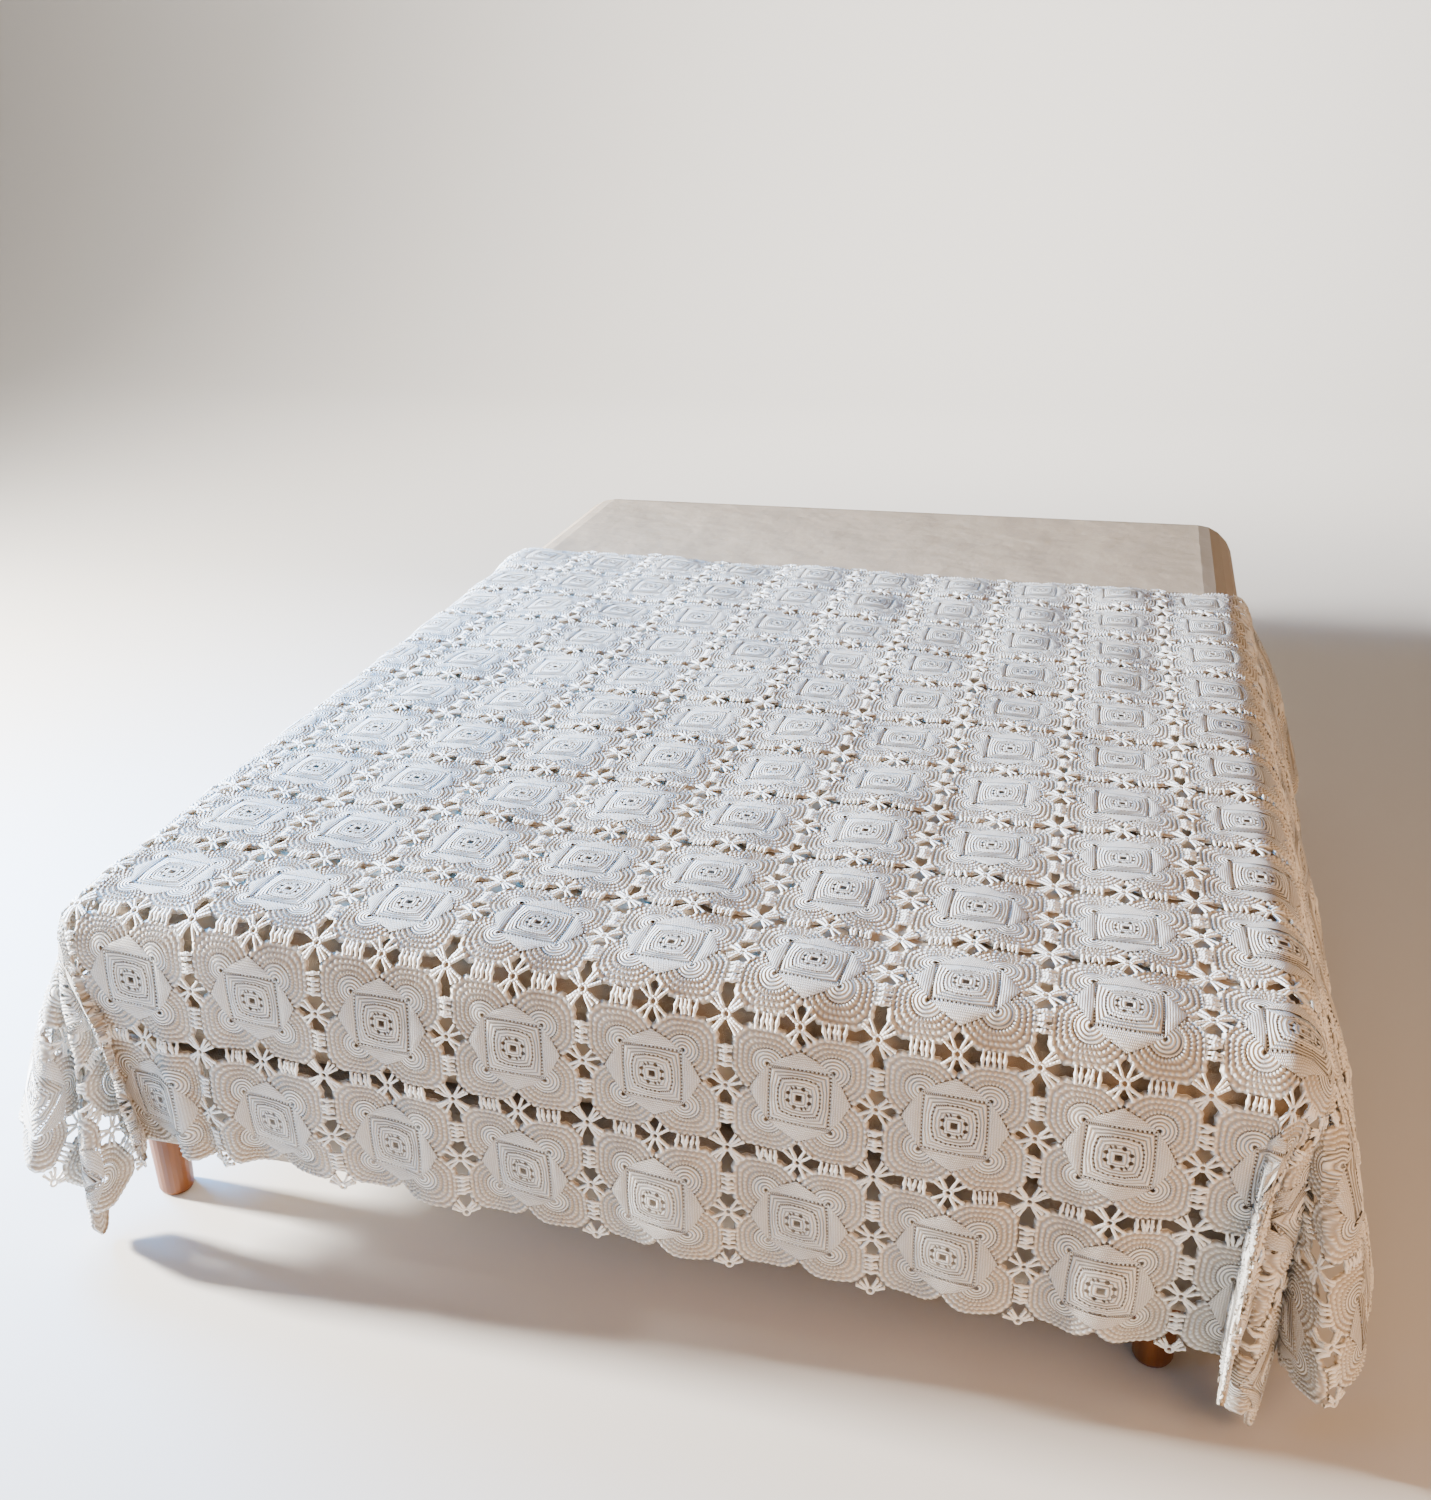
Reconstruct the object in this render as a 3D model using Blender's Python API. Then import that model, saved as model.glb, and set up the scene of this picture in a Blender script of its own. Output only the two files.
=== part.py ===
"""A crochet bedspread of joined square motifs, draped over a plain double bed.

Metres, +Z up. X runs across the bed and Y from the foot to the head. The model is worked out about the
middle of the mattress, with the floor at zero, and is then moved so that the origin is the middle of the
bottom of its own box.
"""
import math

import bmesh
import bpy
import numpy as np
from mathutils.geometry import delaunay_2d_cdt

# The bed
MATTRESS_WIDTH = 1.400
MATTRESS_LENGTH = 2.000
MATTRESS_THICK = 0.200
MATTRESS_EDGE = 0.072
BASE_THICK = 0.140
BASE_INSET = 0.016
BASE_EDGE = 0.020
LEG_HEIGHT = 0.1155
LEG_RADIUS = 0.026
LEG_FOOT_RADIUS = 0.0225
LEG_FOOT_ROUND = 0.006
LEG_SIDES = 24
LEG_INSET_LEFT = 0.044
LEG_INSET_RIGHT = 0.120
LEG_INSET_END = 0.082
TOUCH_GAP = 0.0003

# The bedspread
MOTIF = 0.158
CLOTH_THICK = 0.002
CLOTH_REST = 0.0016
SIDE_GAP = 0.006
BEND = 0.047
FIRST_COLUMN, LAST_COLUMN = -8, 4
FIRST_ROW, LAST_ROW = -2, 9
GAP_OFFSET = 0.070
GAP_REACH = 0.048
GAP_HALF = 0.036
SCALLOP_INSET = 0.30
SCALLOP_RADIUS = 0.20
SLIVER = 1e-5
SCALLOP_HALF_ANGLE = math.radians(60.0)

# How the lattice of motifs lies on the bed, in motifs: column zero and row zero are named from the foot
BED_LEFT, BED_RIGHT, BED_FOOT = -6.68, 2.18, -0.507
SPREAD_CENTRE = -2.2
EVEN_FROM, EVEN_TO = -4.9, 4.5
TIGHTER_PER_ROW = 0.0148
DRIFT_PER_ROW = 0.0262
ROW_PITCH = 1.012
SHORTER_PER_ROW = 0.0074
ROW_SLANT = -0.0388
SLANT_TO = 4.0
SLID, SLIDE_FROM, SLIDE_WIDTH, SLIDE_ROWS = 0.06, -1.0, 3.5, 1.3
LEFT_STRETCH = 0.14

# Folds of each hanging side: where along the edge, half width, how far out at the hem, all in motifs.
# The flare is how far a side stands out below its edge, and a corner's cloth is drawn up by a share.
FOOT_FOLDS = (
    # along, half width, out
    (-6.02, 0.10, 0.02),
    (-5.78, 0.13, 0.17),
    (-5.40, 0.15, 0.13),
    (-4.62, 0.30, 0.07),
    (-3.70, 0.26, 0.10),
    (-2.85, 0.30, 0.06),
    (-1.85, 0.34, 0.12),
    (-0.80, 0.30, 0.07),
    (0.15, 0.32, 0.11),
    (1.05, 0.26, 0.12),
)
LEFT_FOLDS = (
    (-0.30, 0.70, 0.62),
    (0.85, 0.28, 0.12),
    (1.75, 0.36, 0.30),
    (3.10, 0.40, 0.20),
    (4.45, 0.38, 0.28),
    (5.80, 0.42, 0.18),
    (7.20, 0.40, 0.30),
    (8.60, 0.50, 0.34),
)
RIGHT_FOLDS = (
    (0.45, 0.50, 0.20),
    (1.60, 0.38, 0.26),
    (2.75, 0.36, 0.20),
    (4.05, 0.42, 0.27),
    (5.35, 0.38, 0.22),
    (6.70, 0.42, 0.26),
    (8.40, 0.60, 0.40),
)
FOLD_DROP = 2.2
FOLD_GROWTH = 1.1
FLARE_DROP = 0.9
SIDE_FLARE = (("foot", 0.02), ("left", 0.10), ("right", 0.42))
CORNER_DRAWN = (("left", -0.03), ("right", 0.14))

# Corner flutes, from the foot side round to the long side: how far each ridge and valley leans, for a
# drop of one. Outward is away from the bed's long side and forward is away from its foot.
LEFT_FLUTES = (
    # outward, forward
    (-0.22, 0.17),
    (-0.14, 0.00),
    (-0.05, 0.17),
    (0.02, 0.02),
    (0.12, 0.24),
    (0.15, 0.06),
)
RIGHT_FLUTES = (
    (-0.10, 0.31),
    (-0.11, 0.02),
    (-0.07, 0.10),
    (0.02, -0.14),
    (-0.01, 0.19),
    (0.02, 0.02),
)
FLUTE_START, FLUTE_FULL = 0.25, 1.10
JOIN_ANGLE = math.radians(26.0)

# Soft rises of the cloth on the bed: across, along, half width, half length in motifs, height in metres
TOP_RISES = (
    (-5.6, 1.2, 0.9, 0.8, 0.0035),
    (-3.6, 0.6, 1.0, 0.6, 0.0025),
    (-1.4, 1.6, 0.9, 0.9, 0.0030),
    (0.9, 2.6, 0.8, 1.1, 0.0030),
    (-4.4, 3.6, 1.2, 0.8, 0.0030),
    (-2.3, 4.7, 0.9, 0.7, 0.0035),
    (0.2, 5.6, 1.1, 0.8, 0.0025),
    (-5.2, 6.4, 0.8, 0.9, 0.0040),
    (-2.8, 7.6, 1.1, 0.6, 0.0035),
    (0.9, 8.1, 0.7, 0.35, 0.0060),
)

BED_TOP = LEG_HEIGHT + BASE_THICK + MATTRESS_THICK + 2 * TOUCH_GAP
CLOTH_TOP = BED_TOP + CLOTH_REST
BED_MIDDLE = (BED_LEFT + BED_RIGHT) / 2
INNER_X = MATTRESS_WIDTH / 2 + SIDE_GAP - BEND
INNER_FOOT = -MATTRESS_LENGTH / 2 - SIDE_GAP + BEND


def along_x(column_place):
    """Metres across the bed of a place given in motifs."""
    return (column_place - BED_MIDDLE) * MOTIF


def along_y(row_place):
    """Metres along the bed of a place given in motifs."""
    return -MATTRESS_LENGTH / 2 - SIDE_GAP + (row_place - BED_FOOT) * MOTIF


def smooth(value):
    value = np.clip(value, 0.0, 1.0)
    return value * value * (3 - 2 * value)


def spread(column, row):
    """Flat place of a point of the lattice.

    Its columns draw together a little towards the head, and it has slid over the bed's right foot corner.
    """
    column = np.asarray(column, float)
    row = np.asarray(row, float)
    up = np.maximum(row, 0.0)
    from_centre = column - SPREAD_CENTRE
    even = np.clip(from_centre, EVEN_FROM, EVEN_TO)
    across = SPREAD_CENTRE + even * (1 - TIGHTER_PER_ROW * up) + (from_centre - even) + DRIFT_PER_ROW * up
    across += LEFT_STRETCH * np.minimum(from_centre - even, 0.0)
    across += SLID * smooth((column - SLIDE_FROM) / SLIDE_WIDTH) * np.exp(-(up / SLIDE_ROWS) ** 2)
    along = ROW_PITCH * row * (1 - SHORTER_PER_ROW * up) + ROW_SLANT * np.minimum(from_centre, SLANT_TO)
    return along_x(across), along_y(along)


def fold_profile(folds, to_metres):
    """Sum of soft bumps along an edge, with the width that they take up, both on a fine row of places."""
    places = np.linspace(-9.0, 11.0, 2401)
    out = np.zeros_like(places)
    for middle, half_width, reach in folds:
        out += reach * np.exp(-((places - middle) / half_width) ** 2)
    slope = np.gradient(out, places)
    taken = np.concatenate([[0.0], np.cumsum((slope[1:] ** 2 + slope[:-1] ** 2) / 4 * np.diff(places))])
    taken -= np.interp((places[0] + places[-1]) / 2 - 2.0, places, taken)
    return to_metres(places), out * MOTIF, taken * MOTIF


FLARES = dict(SIDE_FLARE)
DRAWN = dict(CORNER_DRAWN)
PROFILES = {
    "foot": fold_profile(FOOT_FOLDS, along_x),
    "left": fold_profile(LEFT_FOLDS, along_y),
    "right": fold_profile(RIGHT_FOLDS, along_y),
}


def hang_offset(side, place, down):
    """Outward and sideways shift of a hanging side, which grow towards the hem."""
    places, out, taken = PROFILES[side]
    growth = np.clip((down - BEND) / (FOLD_DROP * MOTIF), 0.0, None) ** FOLD_GROWTH
    flare = 1 - np.exp(-np.clip(down - BEND, 0.0, None) / (FLARE_DROP * MOTIF))
    outward = np.interp(place, places, out) * growth + FLARES[side] * MOTIF * flare
    sideways = -np.interp(place, places, taken) * growth ** 2
    return outward, sideways


def flute_curve(flutes):
    """Directions in which a corner hangs, for each flat angle from 0 to a quarter turn.

    The cloth round a corner is a cone: its direction runs along a wavy curve whose length is the
    quarter turn that the flat cloth has. The leans of the table are scaled until it is that long.
    """
    ridges = np.array([(0.0, 0.0), *flutes, (0.0, 0.0)])
    padded = np.vstack([2 * ridges[0] - ridges[1], ridges, 2 * ridges[-1] - ridges[-2]])
    share = np.linspace(0.0, 1.0, 24, endpoint=False)[:, None]
    runs = []
    for first in range(len(ridges) - 1):
        a, b, c, d = padded[first:first + 4]
        runs.append(0.5 * (2 * b + (c - a) * share + (2 * a - 5 * b + 4 * c - d) * share ** 2
                           + (3 * b - a - 3 * c + d) * share ** 3))
    lean = np.vstack([*runs, ridges[-1:]])
    scale = 1.0
    for _ in range(12):
        direction = np.c_[lean * scale, -np.ones(len(lean))]
        direction /= np.linalg.norm(direction, axis=1)[:, None]
        length = np.concatenate([[0.0], np.cumsum(np.linalg.norm(np.diff(direction, axis=0), axis=1))])
        scale *= (math.pi / 2) / length[-1]
    return length, lean * scale


CURVES = {"left": flute_curve(LEFT_FLUTES), "right": flute_curve(RIGHT_FLUTES)}


def bend_over(outward, hang, reach):
    """Path over a rounded edge: it turns from outward to hang on the bend's radius, then runs straight."""
    cosine = np.sum(outward * hang, axis=1)
    angle = np.arccos(np.clip(cosine, -1.0, 1.0))
    across = (hang - cosine[:, None] * outward) / np.sin(angle)[:, None]
    turned = np.minimum(reach / BEND, angle)
    path = BEND * (np.sin(turned)[:, None] * outward + (1 - np.cos(turned))[:, None] * across)
    return path + np.clip(reach - BEND * angle, 0.0, None)[:, None] * hang


def drape(flat_x, flat_y):
    """Place in space of points of the flat cloth, on the middle of its thickness."""
    flat_x = np.asarray(flat_x, float)
    flat_y = np.asarray(flat_y, float)
    held_x = np.clip(flat_x, -INNER_X, INNER_X)
    held_y = np.maximum(flat_y, INNER_FOOT)
    side = np.where(flat_x < 0, -1.0, 1.0)
    past_side = np.abs(flat_x - held_x)
    past_foot = held_y - flat_y
    reach = np.hypot(past_side, past_foot)
    angle = np.arctan2(past_side, past_foot)
    angle[reach < 1e-9] = 0.0
    drawn = np.where(flat_x < 0, DRAWN["left"], DRAWN["right"])
    reach = reach * (1 - drawn * np.sin(2 * angle) ** 2)

    flute = np.zeros((len(flat_x), 2))
    for name, sign in (("left", -1.0), ("right", 1.0)):
        length, lean = CURVES[name]
        here = side == sign
        for axis in (0, 1):
            flute[here, axis] = np.interp(angle[here], length, lean[:, axis])
    flute *= smooth((reach / MOTIF - FLUTE_START) / (FLUTE_FULL - FLUTE_START))[:, None]
    flute *= (past_side > 0)[:, None] * (past_foot > 0)[:, None]

    outward = np.c_[side * np.sin(angle), -np.cos(angle), np.zeros(len(angle))]
    hang = np.c_[side * flute[:, 0], -flute[:, 1], -np.ones(len(angle))]
    hang /= np.linalg.norm(hang, axis=1)[:, None]
    place = np.c_[held_x, held_y, np.full(len(flat_x), CLOTH_TOP)] + bend_over(outward, hang, reach)

    down = np.clip(reach - BEND * (math.pi / 2 - 1), 0.0, None)
    foot_share = smooth(1 - angle / JOIN_ANGLE) * (past_foot > 0)
    side_share = smooth(1 - (math.pi / 2 - angle) / JOIN_ANGLE) * (past_side > 0)
    out, shift = hang_offset("foot", held_x, down)
    place[:, 1] -= out * foot_share
    place[:, 0] += shift * foot_share
    for name, sign in (("left", -1.0), ("right", 1.0)):
        out, shift = hang_offset(name, held_y, down)
        here = side_share * (side == sign)
        place[:, 0] += sign * out * here
        place[:, 1] += shift * here

    on_top = smooth(1 - reach / (0.5 * MOTIF))
    for across, along, half_width, half_length, height in TOP_RISES:
        u = (flat_x - along_x(across)) / (half_width * MOTIF)
        v = (flat_y - along_y(along)) / (half_length * MOTIF)
        place[:, 2] += height * np.exp(-u * u - v * v) * on_top
    return place


def normals(flat_x, flat_y):
    """Unit normals of the draped cloth, from two short steps on the flat cloth."""
    step = 0.002
    a = drape(flat_x + step, flat_y) - drape(flat_x - step, flat_y)
    b = drape(flat_x, flat_y + step) - drape(flat_x, flat_y - step)
    normal = np.cross(a, b)
    return normal / np.linalg.norm(normal, axis=1)[:, None]


def hem_outline():
    """Scalloped outline of the whole cloth, in motifs: two round fans a side of each motif, one a corner."""
    low, high = FIRST_COLUMN - 0.5, LAST_COLUMN + 0.5
    foot, head = FIRST_ROW - 0.5, LAST_ROW + 0.5
    corners = ((low, foot), (high, foot), (high, head), (low, head))
    points = []
    for index, (x, y) in enumerate(corners):
        next_x, next_y = corners[(index + 1) % 4]
        run = np.array([next_x - x, next_y - y])
        count = int(round(np.abs(run).max() * 2))
        run = run / np.abs(run).max()
        out = np.array([run[1], -run[0]])
        for fan in range(count):
            centre = np.array([x, y]) + run * (0.25 + 0.5 * fan) - out * SCALLOP_INSET
            angles = (-0.75, 0.0, 0.57, 1.0) if fan == 0 else (-0.57, 0.0, 0.57, 1.0)
            if fan == count - 1:
                angles = angles[:-2]
            for angle in angles:
                turn = angle * SCALLOP_HALF_ANGLE
                points.append(centre + SCALLOP_RADIUS * (math.sin(turn) * run + math.cos(turn) * out))
    return np.array(points)


def gap_outlines():
    """Open gaps of the joining lace, in motifs: two at each inner corner of the motifs."""
    gaps = []
    for column in range(FIRST_COLUMN, LAST_COLUMN):
        for row in range(FIRST_ROW, LAST_ROW):
            x, y = column + 0.5, row + 0.5
            for way in (-1, 1):
                near = y + way * (GAP_OFFSET - GAP_REACH)
                far = y + way * (GAP_OFFSET + GAP_REACH)
                middle = y + way * GAP_OFFSET
                ring = [(x, near), (x + GAP_HALF, middle), (x, far), (x - GAP_HALF, middle)]
                gaps.append(np.array(ring if way > 0 else ring[::-1]))
    return gaps


def inner_points():
    """Places of the mesh between its edges, denser where the cloth bends. Metres on the flat cloth."""
    quarter = BEND * math.pi / 2
    rings = (0.0, quarter / 3, 2 * quarter / 3, quarter)
    drops = (0.16, 0.23, 0.30, 0.37)
    head = along_y(9.2)
    points = []
    for reach in rings + drops:
        spacing = 0.065 if reach <= quarter else 0.040
        for x in np.linspace(-INNER_X, INNER_X, int(2 * INNER_X / spacing) + 1):
            points.append((x, INNER_FOOT - reach))
        side_spacing = 0.085 if reach <= quarter else 0.062
        for y in np.linspace(INNER_FOOT, head, int((head - INNER_FOOT) / side_spacing) + 1)[1:]:
            points.append((-INNER_X - reach, y))
            points.append((INNER_X + reach, y))
    for reach in (quarter / 2, quarter, 0.115, 0.165, 0.225, 0.290, 0.360, 0.430):
        count = 8 if reach <= quarter else 20 if reach < 0.2 else 26
        for angle in np.linspace(0.0, math.pi / 2, count + 1)[1:-1]:
            for sign in (-1, 1):
                points.append((sign * (INNER_X + reach * math.sin(angle)),
                               INNER_FOOT - reach * math.cos(angle)))
    columns, rows = np.meshgrid(np.arange(-7, 4), np.arange(0, 10))
    x, y = spread(columns.ravel(), rows.ravel())
    on_top = (np.abs(x) < INNER_X - 0.03) & (y > INNER_FOOT + 0.03)
    points.extend(zip(x[on_top], y[on_top]))
    return np.array(points)


def inside(ring, points):
    """Which points lie inside a closed ring, by counting the crossings of a ray."""
    x, y = points[:, 0], points[:, 1]
    found = np.zeros(len(points), bool)
    for (x0, y0), (x1, y1) in zip(ring, np.roll(ring, -1, axis=0)):
        crosses = (y0 > y) != (y1 > y)
        with np.errstate(divide="ignore", invalid="ignore"):
            found ^= crosses & (x < (x1 - x0) * (y - y0) / (y1 - y0) + x0)
    return found


def ring_distance(ring, points):
    """Distance from each point to the nearest edge of a ring."""
    best = np.full(len(points), np.inf)
    for start, end in zip(ring, np.roll(ring, -1, axis=0)):
        along = end - start
        share = np.clip(((points - start) @ along) / (along @ along), 0.0, 1.0)
        best = np.minimum(best, np.linalg.norm(points - start - share[:, None] * along, axis=1))
    return best


def flat_cloth():
    """Triangles of the flat cloth with its scalloped hem and its gaps."""
    hem = np.column_stack(spread(*hem_outline().T))
    gaps = [np.column_stack(spread(*gap.T)) for gap in gap_outlines()]
    points = inner_points()
    points = points[inside(hem, points)]
    points = points[ring_distance(hem, points) > 0.014]
    for gap in gaps:
        points = points[(ring_distance(gap, points) > 0.009) & ~inside(gap, points)]
    verts, edges = [], []
    for ring in [hem] + gaps:
        start, count = len(verts), len(ring)
        verts.extend(ring.tolist())
        edges.extend((start + k, start + (k + 1) % count) for k in range(count))
    verts.extend(points.tolist())
    flat, _, faces, _, _, _ = delaunay_2d_cdt(verts, edges, [], 0, 1e-6, False)
    flat = np.array([tuple(v) for v in flat])
    faces = np.array([tuple(f) for f in faces])
    middle = flat[faces].mean(axis=1)
    keep = inside(hem, middle) & (ring_distance(hem, middle) > SLIVER)
    for gap in gaps:
        near = np.linalg.norm(middle - gap.mean(axis=0), axis=1) < 0.02
        keep[near] &= ~inside(gap, middle[near])
    faces = faces[keep]
    a, b, c = (flat[faces[:, k]] for k in range(3))
    turned = np.cross(b - a, c - a) < 0
    faces[turned] = faces[turned][:, ::-1]
    used, index = np.unique(faces, return_inverse=True)
    return flat[used], index.reshape(faces.shape)


def two_sided(name, flat, faces):
    """Closed sheet: the cloth's upper and under face, joined by a wall at each free edge."""
    place = drape(flat[:, 0], flat[:, 1])
    normal = normals(flat[:, 0], flat[:, 1])
    count = len(flat)
    verts = np.vstack([place + normal * CLOTH_THICK / 2, place - normal * CLOTH_THICK / 2])
    directed = {(int(a), int(b)) for tri in faces for a, b in zip(tri, np.roll(tri, -1))}
    walls = [(a, a + count, b + count, b) for a, b in sorted(directed) if (b, a) not in directed]
    mesh = bpy.data.meshes.new(name)
    mesh.from_pydata(verts.tolist(), [], faces.tolist() + (faces[:, ::-1] + count).tolist() + walls)
    mesh.update()
    return mesh


def new_material(name, colour, roughness, metallic=0.0):
    material = bpy.data.materials.new(name)
    material.use_nodes = True
    shader = material.node_tree.nodes["Principled BSDF"]
    shader.inputs["Base Color"].default_value = (*colour, 1.0)
    shader.inputs["Roughness"].default_value = roughness
    shader.inputs["Metallic"].default_value = metallic
    return material


def add_object(name, mesh, material):
    item = bpy.data.objects.new(name, mesh)
    item.data.materials.append(material)
    bpy.context.scene.collection.objects.link(item)
    return item


def rounded_box(name, size, edge, segments, middle, material):
    """Box with rounded edges, by a bevel on a cube."""
    mesh = bpy.data.meshes.new(name)
    form = bmesh.new()
    bmesh.ops.create_cube(form, size=1.0)
    bmesh.ops.scale(form, vec=size, verts=form.verts)
    bmesh.ops.bevel(form, geom=form.edges[:], offset=edge, segments=segments, profile=0.5,
                    affect="EDGES", clamp_overlap=True)
    form.to_mesh(mesh)
    form.free()
    item = add_object(name, mesh, material)
    item.location = middle
    mesh.shade_smooth()
    mesh.set_sharp_from_angle(angle=math.radians(40))
    return item


def turned_leg(name, place, material):
    """Round leg that narrows a little to a foot with a rounded rim, turned about its own axis."""
    rise = LEG_FOOT_ROUND
    profile = [(0.0, 0.0), (LEG_FOOT_RADIUS - rise, 0.0), (LEG_FOOT_RADIUS - 0.3 * rise, 0.3 * rise),
               (LEG_FOOT_RADIUS, rise), (LEG_RADIUS, LEG_HEIGHT), (0.0, LEG_HEIGHT)]
    mesh = bpy.data.meshes.new(name)
    form = bmesh.new()
    ring = [form.verts.new((radius, 0.0, height)) for radius, height in profile]
    outline = [form.edges.new((ring[k], ring[k + 1])) for k in range(len(ring) - 1)]
    bmesh.ops.spin(form, geom=ring + outline, cent=(0, 0, 0), axis=(0, 0, 1), angle=2 * math.pi,
                   steps=LEG_SIDES, use_duplicate=False)
    bmesh.ops.remove_doubles(form, verts=form.verts, dist=1e-5)
    bmesh.ops.recalc_face_normals(form, faces=form.faces)
    form.to_mesh(mesh)
    form.free()
    item = add_object(name, mesh, material)
    item.location = place
    mesh.shade_smooth()
    mesh.set_sharp_from_angle(angle=math.radians(40))
    return item


def build_bed():
    """Mattress on an upholstered base, on four round wooden legs."""
    sheet = new_material("mattress_cover", (0.62, 0.55, 0.46), 0.9)
    linen = new_material("base_cover", (0.66, 0.62, 0.56), 0.92)
    wood = new_material("leg_wood", (0.20, 0.06, 0.012), 0.35)
    base_low = LEG_HEIGHT + TOUCH_GAP
    base_size = (MATTRESS_WIDTH - 2 * BASE_INSET, MATTRESS_LENGTH - 2 * BASE_INSET, BASE_THICK)
    items = [
        rounded_box("bed_base", base_size, BASE_EDGE, 3, (0, 0, base_low + BASE_THICK / 2), linen),
        rounded_box("mattress", (MATTRESS_WIDTH, MATTRESS_LENGTH, MATTRESS_THICK), MATTRESS_EDGE, 5,
                    (0, 0, BED_TOP - MATTRESS_THICK / 2), sheet),
    ]
    left = -MATTRESS_WIDTH / 2 + LEG_INSET_LEFT
    right = MATTRESS_WIDTH / 2 - LEG_INSET_RIGHT
    end = MATTRESS_LENGTH / 2 - LEG_INSET_END
    for name, x, y in (("leg_foot_left", left, -end), ("leg_foot_right", right, -end),
                       ("leg_head_left", left, end), ("leg_head_right", right, end)):
        items.append(turned_leg(name, (x, y, 0.0), wood))
    return items


def build_bedspread():
    cotton = new_material("crochet_cotton", (0.80, 0.77, 0.72), 0.95)
    flat, faces = flat_cloth()
    return add_object("bedspread", two_sided("bedspread", flat, faces), cotton)


def stand_on_origin(items):
    """Moves everything so that the origin is the middle of the bottom of the whole box."""
    bpy.context.view_layer.update()
    corners = np.array([item.matrix_world @ v.co for item in items for v in item.data.vertices])
    low, high = corners.min(axis=0), corners.max(axis=0)
    for item in items:
        item.location.x -= (low[0] + high[0]) / 2
        item.location.y -= (low[1] + high[1]) / 2
        item.location.z -= low[2]


for old in list(bpy.data.objects):
    bpy.data.objects.remove(old, do_unlink=True)
stand_on_origin(build_bed() + [build_bedspread()])
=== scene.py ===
"""Looks of a crochet bedspread draped over a plain double bed.

The cloth is made of square motifs joined by lace. Every piece of it is shaped on the flat cloth, in
motifs across and along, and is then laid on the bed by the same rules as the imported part.
"""
import math

import bpy
import numpy as np
from mathutils import Matrix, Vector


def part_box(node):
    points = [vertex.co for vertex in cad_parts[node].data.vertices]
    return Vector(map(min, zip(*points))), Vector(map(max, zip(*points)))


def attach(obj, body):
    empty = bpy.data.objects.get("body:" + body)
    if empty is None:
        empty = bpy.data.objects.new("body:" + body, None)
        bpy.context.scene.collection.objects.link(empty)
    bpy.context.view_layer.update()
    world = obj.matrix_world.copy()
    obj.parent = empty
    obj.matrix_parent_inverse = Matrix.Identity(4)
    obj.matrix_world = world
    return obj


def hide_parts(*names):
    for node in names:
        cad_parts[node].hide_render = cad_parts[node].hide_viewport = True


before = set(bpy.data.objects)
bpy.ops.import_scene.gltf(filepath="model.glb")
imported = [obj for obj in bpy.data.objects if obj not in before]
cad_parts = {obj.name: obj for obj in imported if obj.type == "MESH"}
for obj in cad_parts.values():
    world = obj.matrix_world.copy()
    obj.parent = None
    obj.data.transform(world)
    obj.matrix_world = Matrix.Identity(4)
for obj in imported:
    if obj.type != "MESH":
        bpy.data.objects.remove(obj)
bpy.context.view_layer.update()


# The room: a pale floor with a soft curve behind it, a strong low light from the left, blue sky light
# beside it, and a weak warm fill from the right, as on the bed in the photo.
def new_piece(name, points, faces, places, materials, kinds=None):
    """A smooth mesh object at the origin, from arrays: points (n, 3), faces (m, 4), and places (n, 2) as its
    map of its own flat places. kinds says which of its materials each face has."""
    mesh = bpy.data.meshes.new(name)
    mesh.from_pydata(points.tolist(), [], faces.tolist())
    corner = np.empty(len(mesh.loops), np.int32)
    mesh.loops.foreach_get("vertex_index", corner)
    layer = mesh.uv_layers.new(name="places")
    layer.data.foreach_set("uv", places[corner].astype(np.float32).ravel())
    for material in materials:
        mesh.materials.append(material)
    if kinds is not None:
        mesh.polygons.foreach_set("material_index", kinds.astype(np.int32))
    mesh.polygons.foreach_set("use_smooth", np.full(len(mesh.polygons), True))
    mesh.update()
    item = bpy.data.objects.new(name, mesh)
    bpy.context.scene.collection.objects.link(item)
    return item


def new_node(tree, kind, **values):
    """A node with its sockets set: numbers and colours as they are, sockets linked."""
    node = tree.nodes.new(kind)
    for name, value in values.items():
        socket = node.inputs[name.replace("_", " ")]
        if isinstance(value, bpy.types.NodeSocket):
            tree.links.new(value, socket)
        else:
            socket.default_value = value
    return node


def new_material(name, roughness):
    """A material with its shader and its map of flat places, split in two."""
    material = bpy.data.materials.new(name)
    material.use_nodes = True
    tree = material.node_tree
    shader = tree.nodes["Principled BSDF"]
    shader.inputs["Roughness"].default_value = roughness
    chart = tree.nodes.new("ShaderNodeUVMap")
    chart.uv_map = "places"
    parts = new_node(tree, "ShaderNodeSeparateXYZ", Vector=chart.outputs["UV"]).outputs
    return material, tree, shader, parts[0], parts[1]


FLOOR_FRONT, FLOOR_HALF_WIDTH = -14.0, 16.0
CURVE_START, CURVE_SIZE, BACK_TOP = 4.5, 4.0, 14.0
turns = np.linspace(0.0, math.pi / 2, 13)
sweep = [(FLOOR_FRONT, 0.0)]
sweep += [(CURVE_START + CURVE_SIZE * math.sin(t), CURVE_SIZE - CURVE_SIZE * math.cos(t)) for t in turns]
sweep += [(CURVE_START + CURVE_SIZE, BACK_TOP)]
floor_points = np.array([(x, y, z) for y, z in sweep for x in (-FLOOR_HALF_WIDTH, FLOOR_HALF_WIDTH)])
floor_faces = np.array([(i, i + 1, i + 3, i + 2) for i in range(0, len(floor_points) - 2, 2)])
floor_material, tree, shader, _, _ = new_material("floor_paint", 0.75)
shader.inputs["Base Color"].default_value = (0.66, 0.63, 0.59, 1.0)
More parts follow.
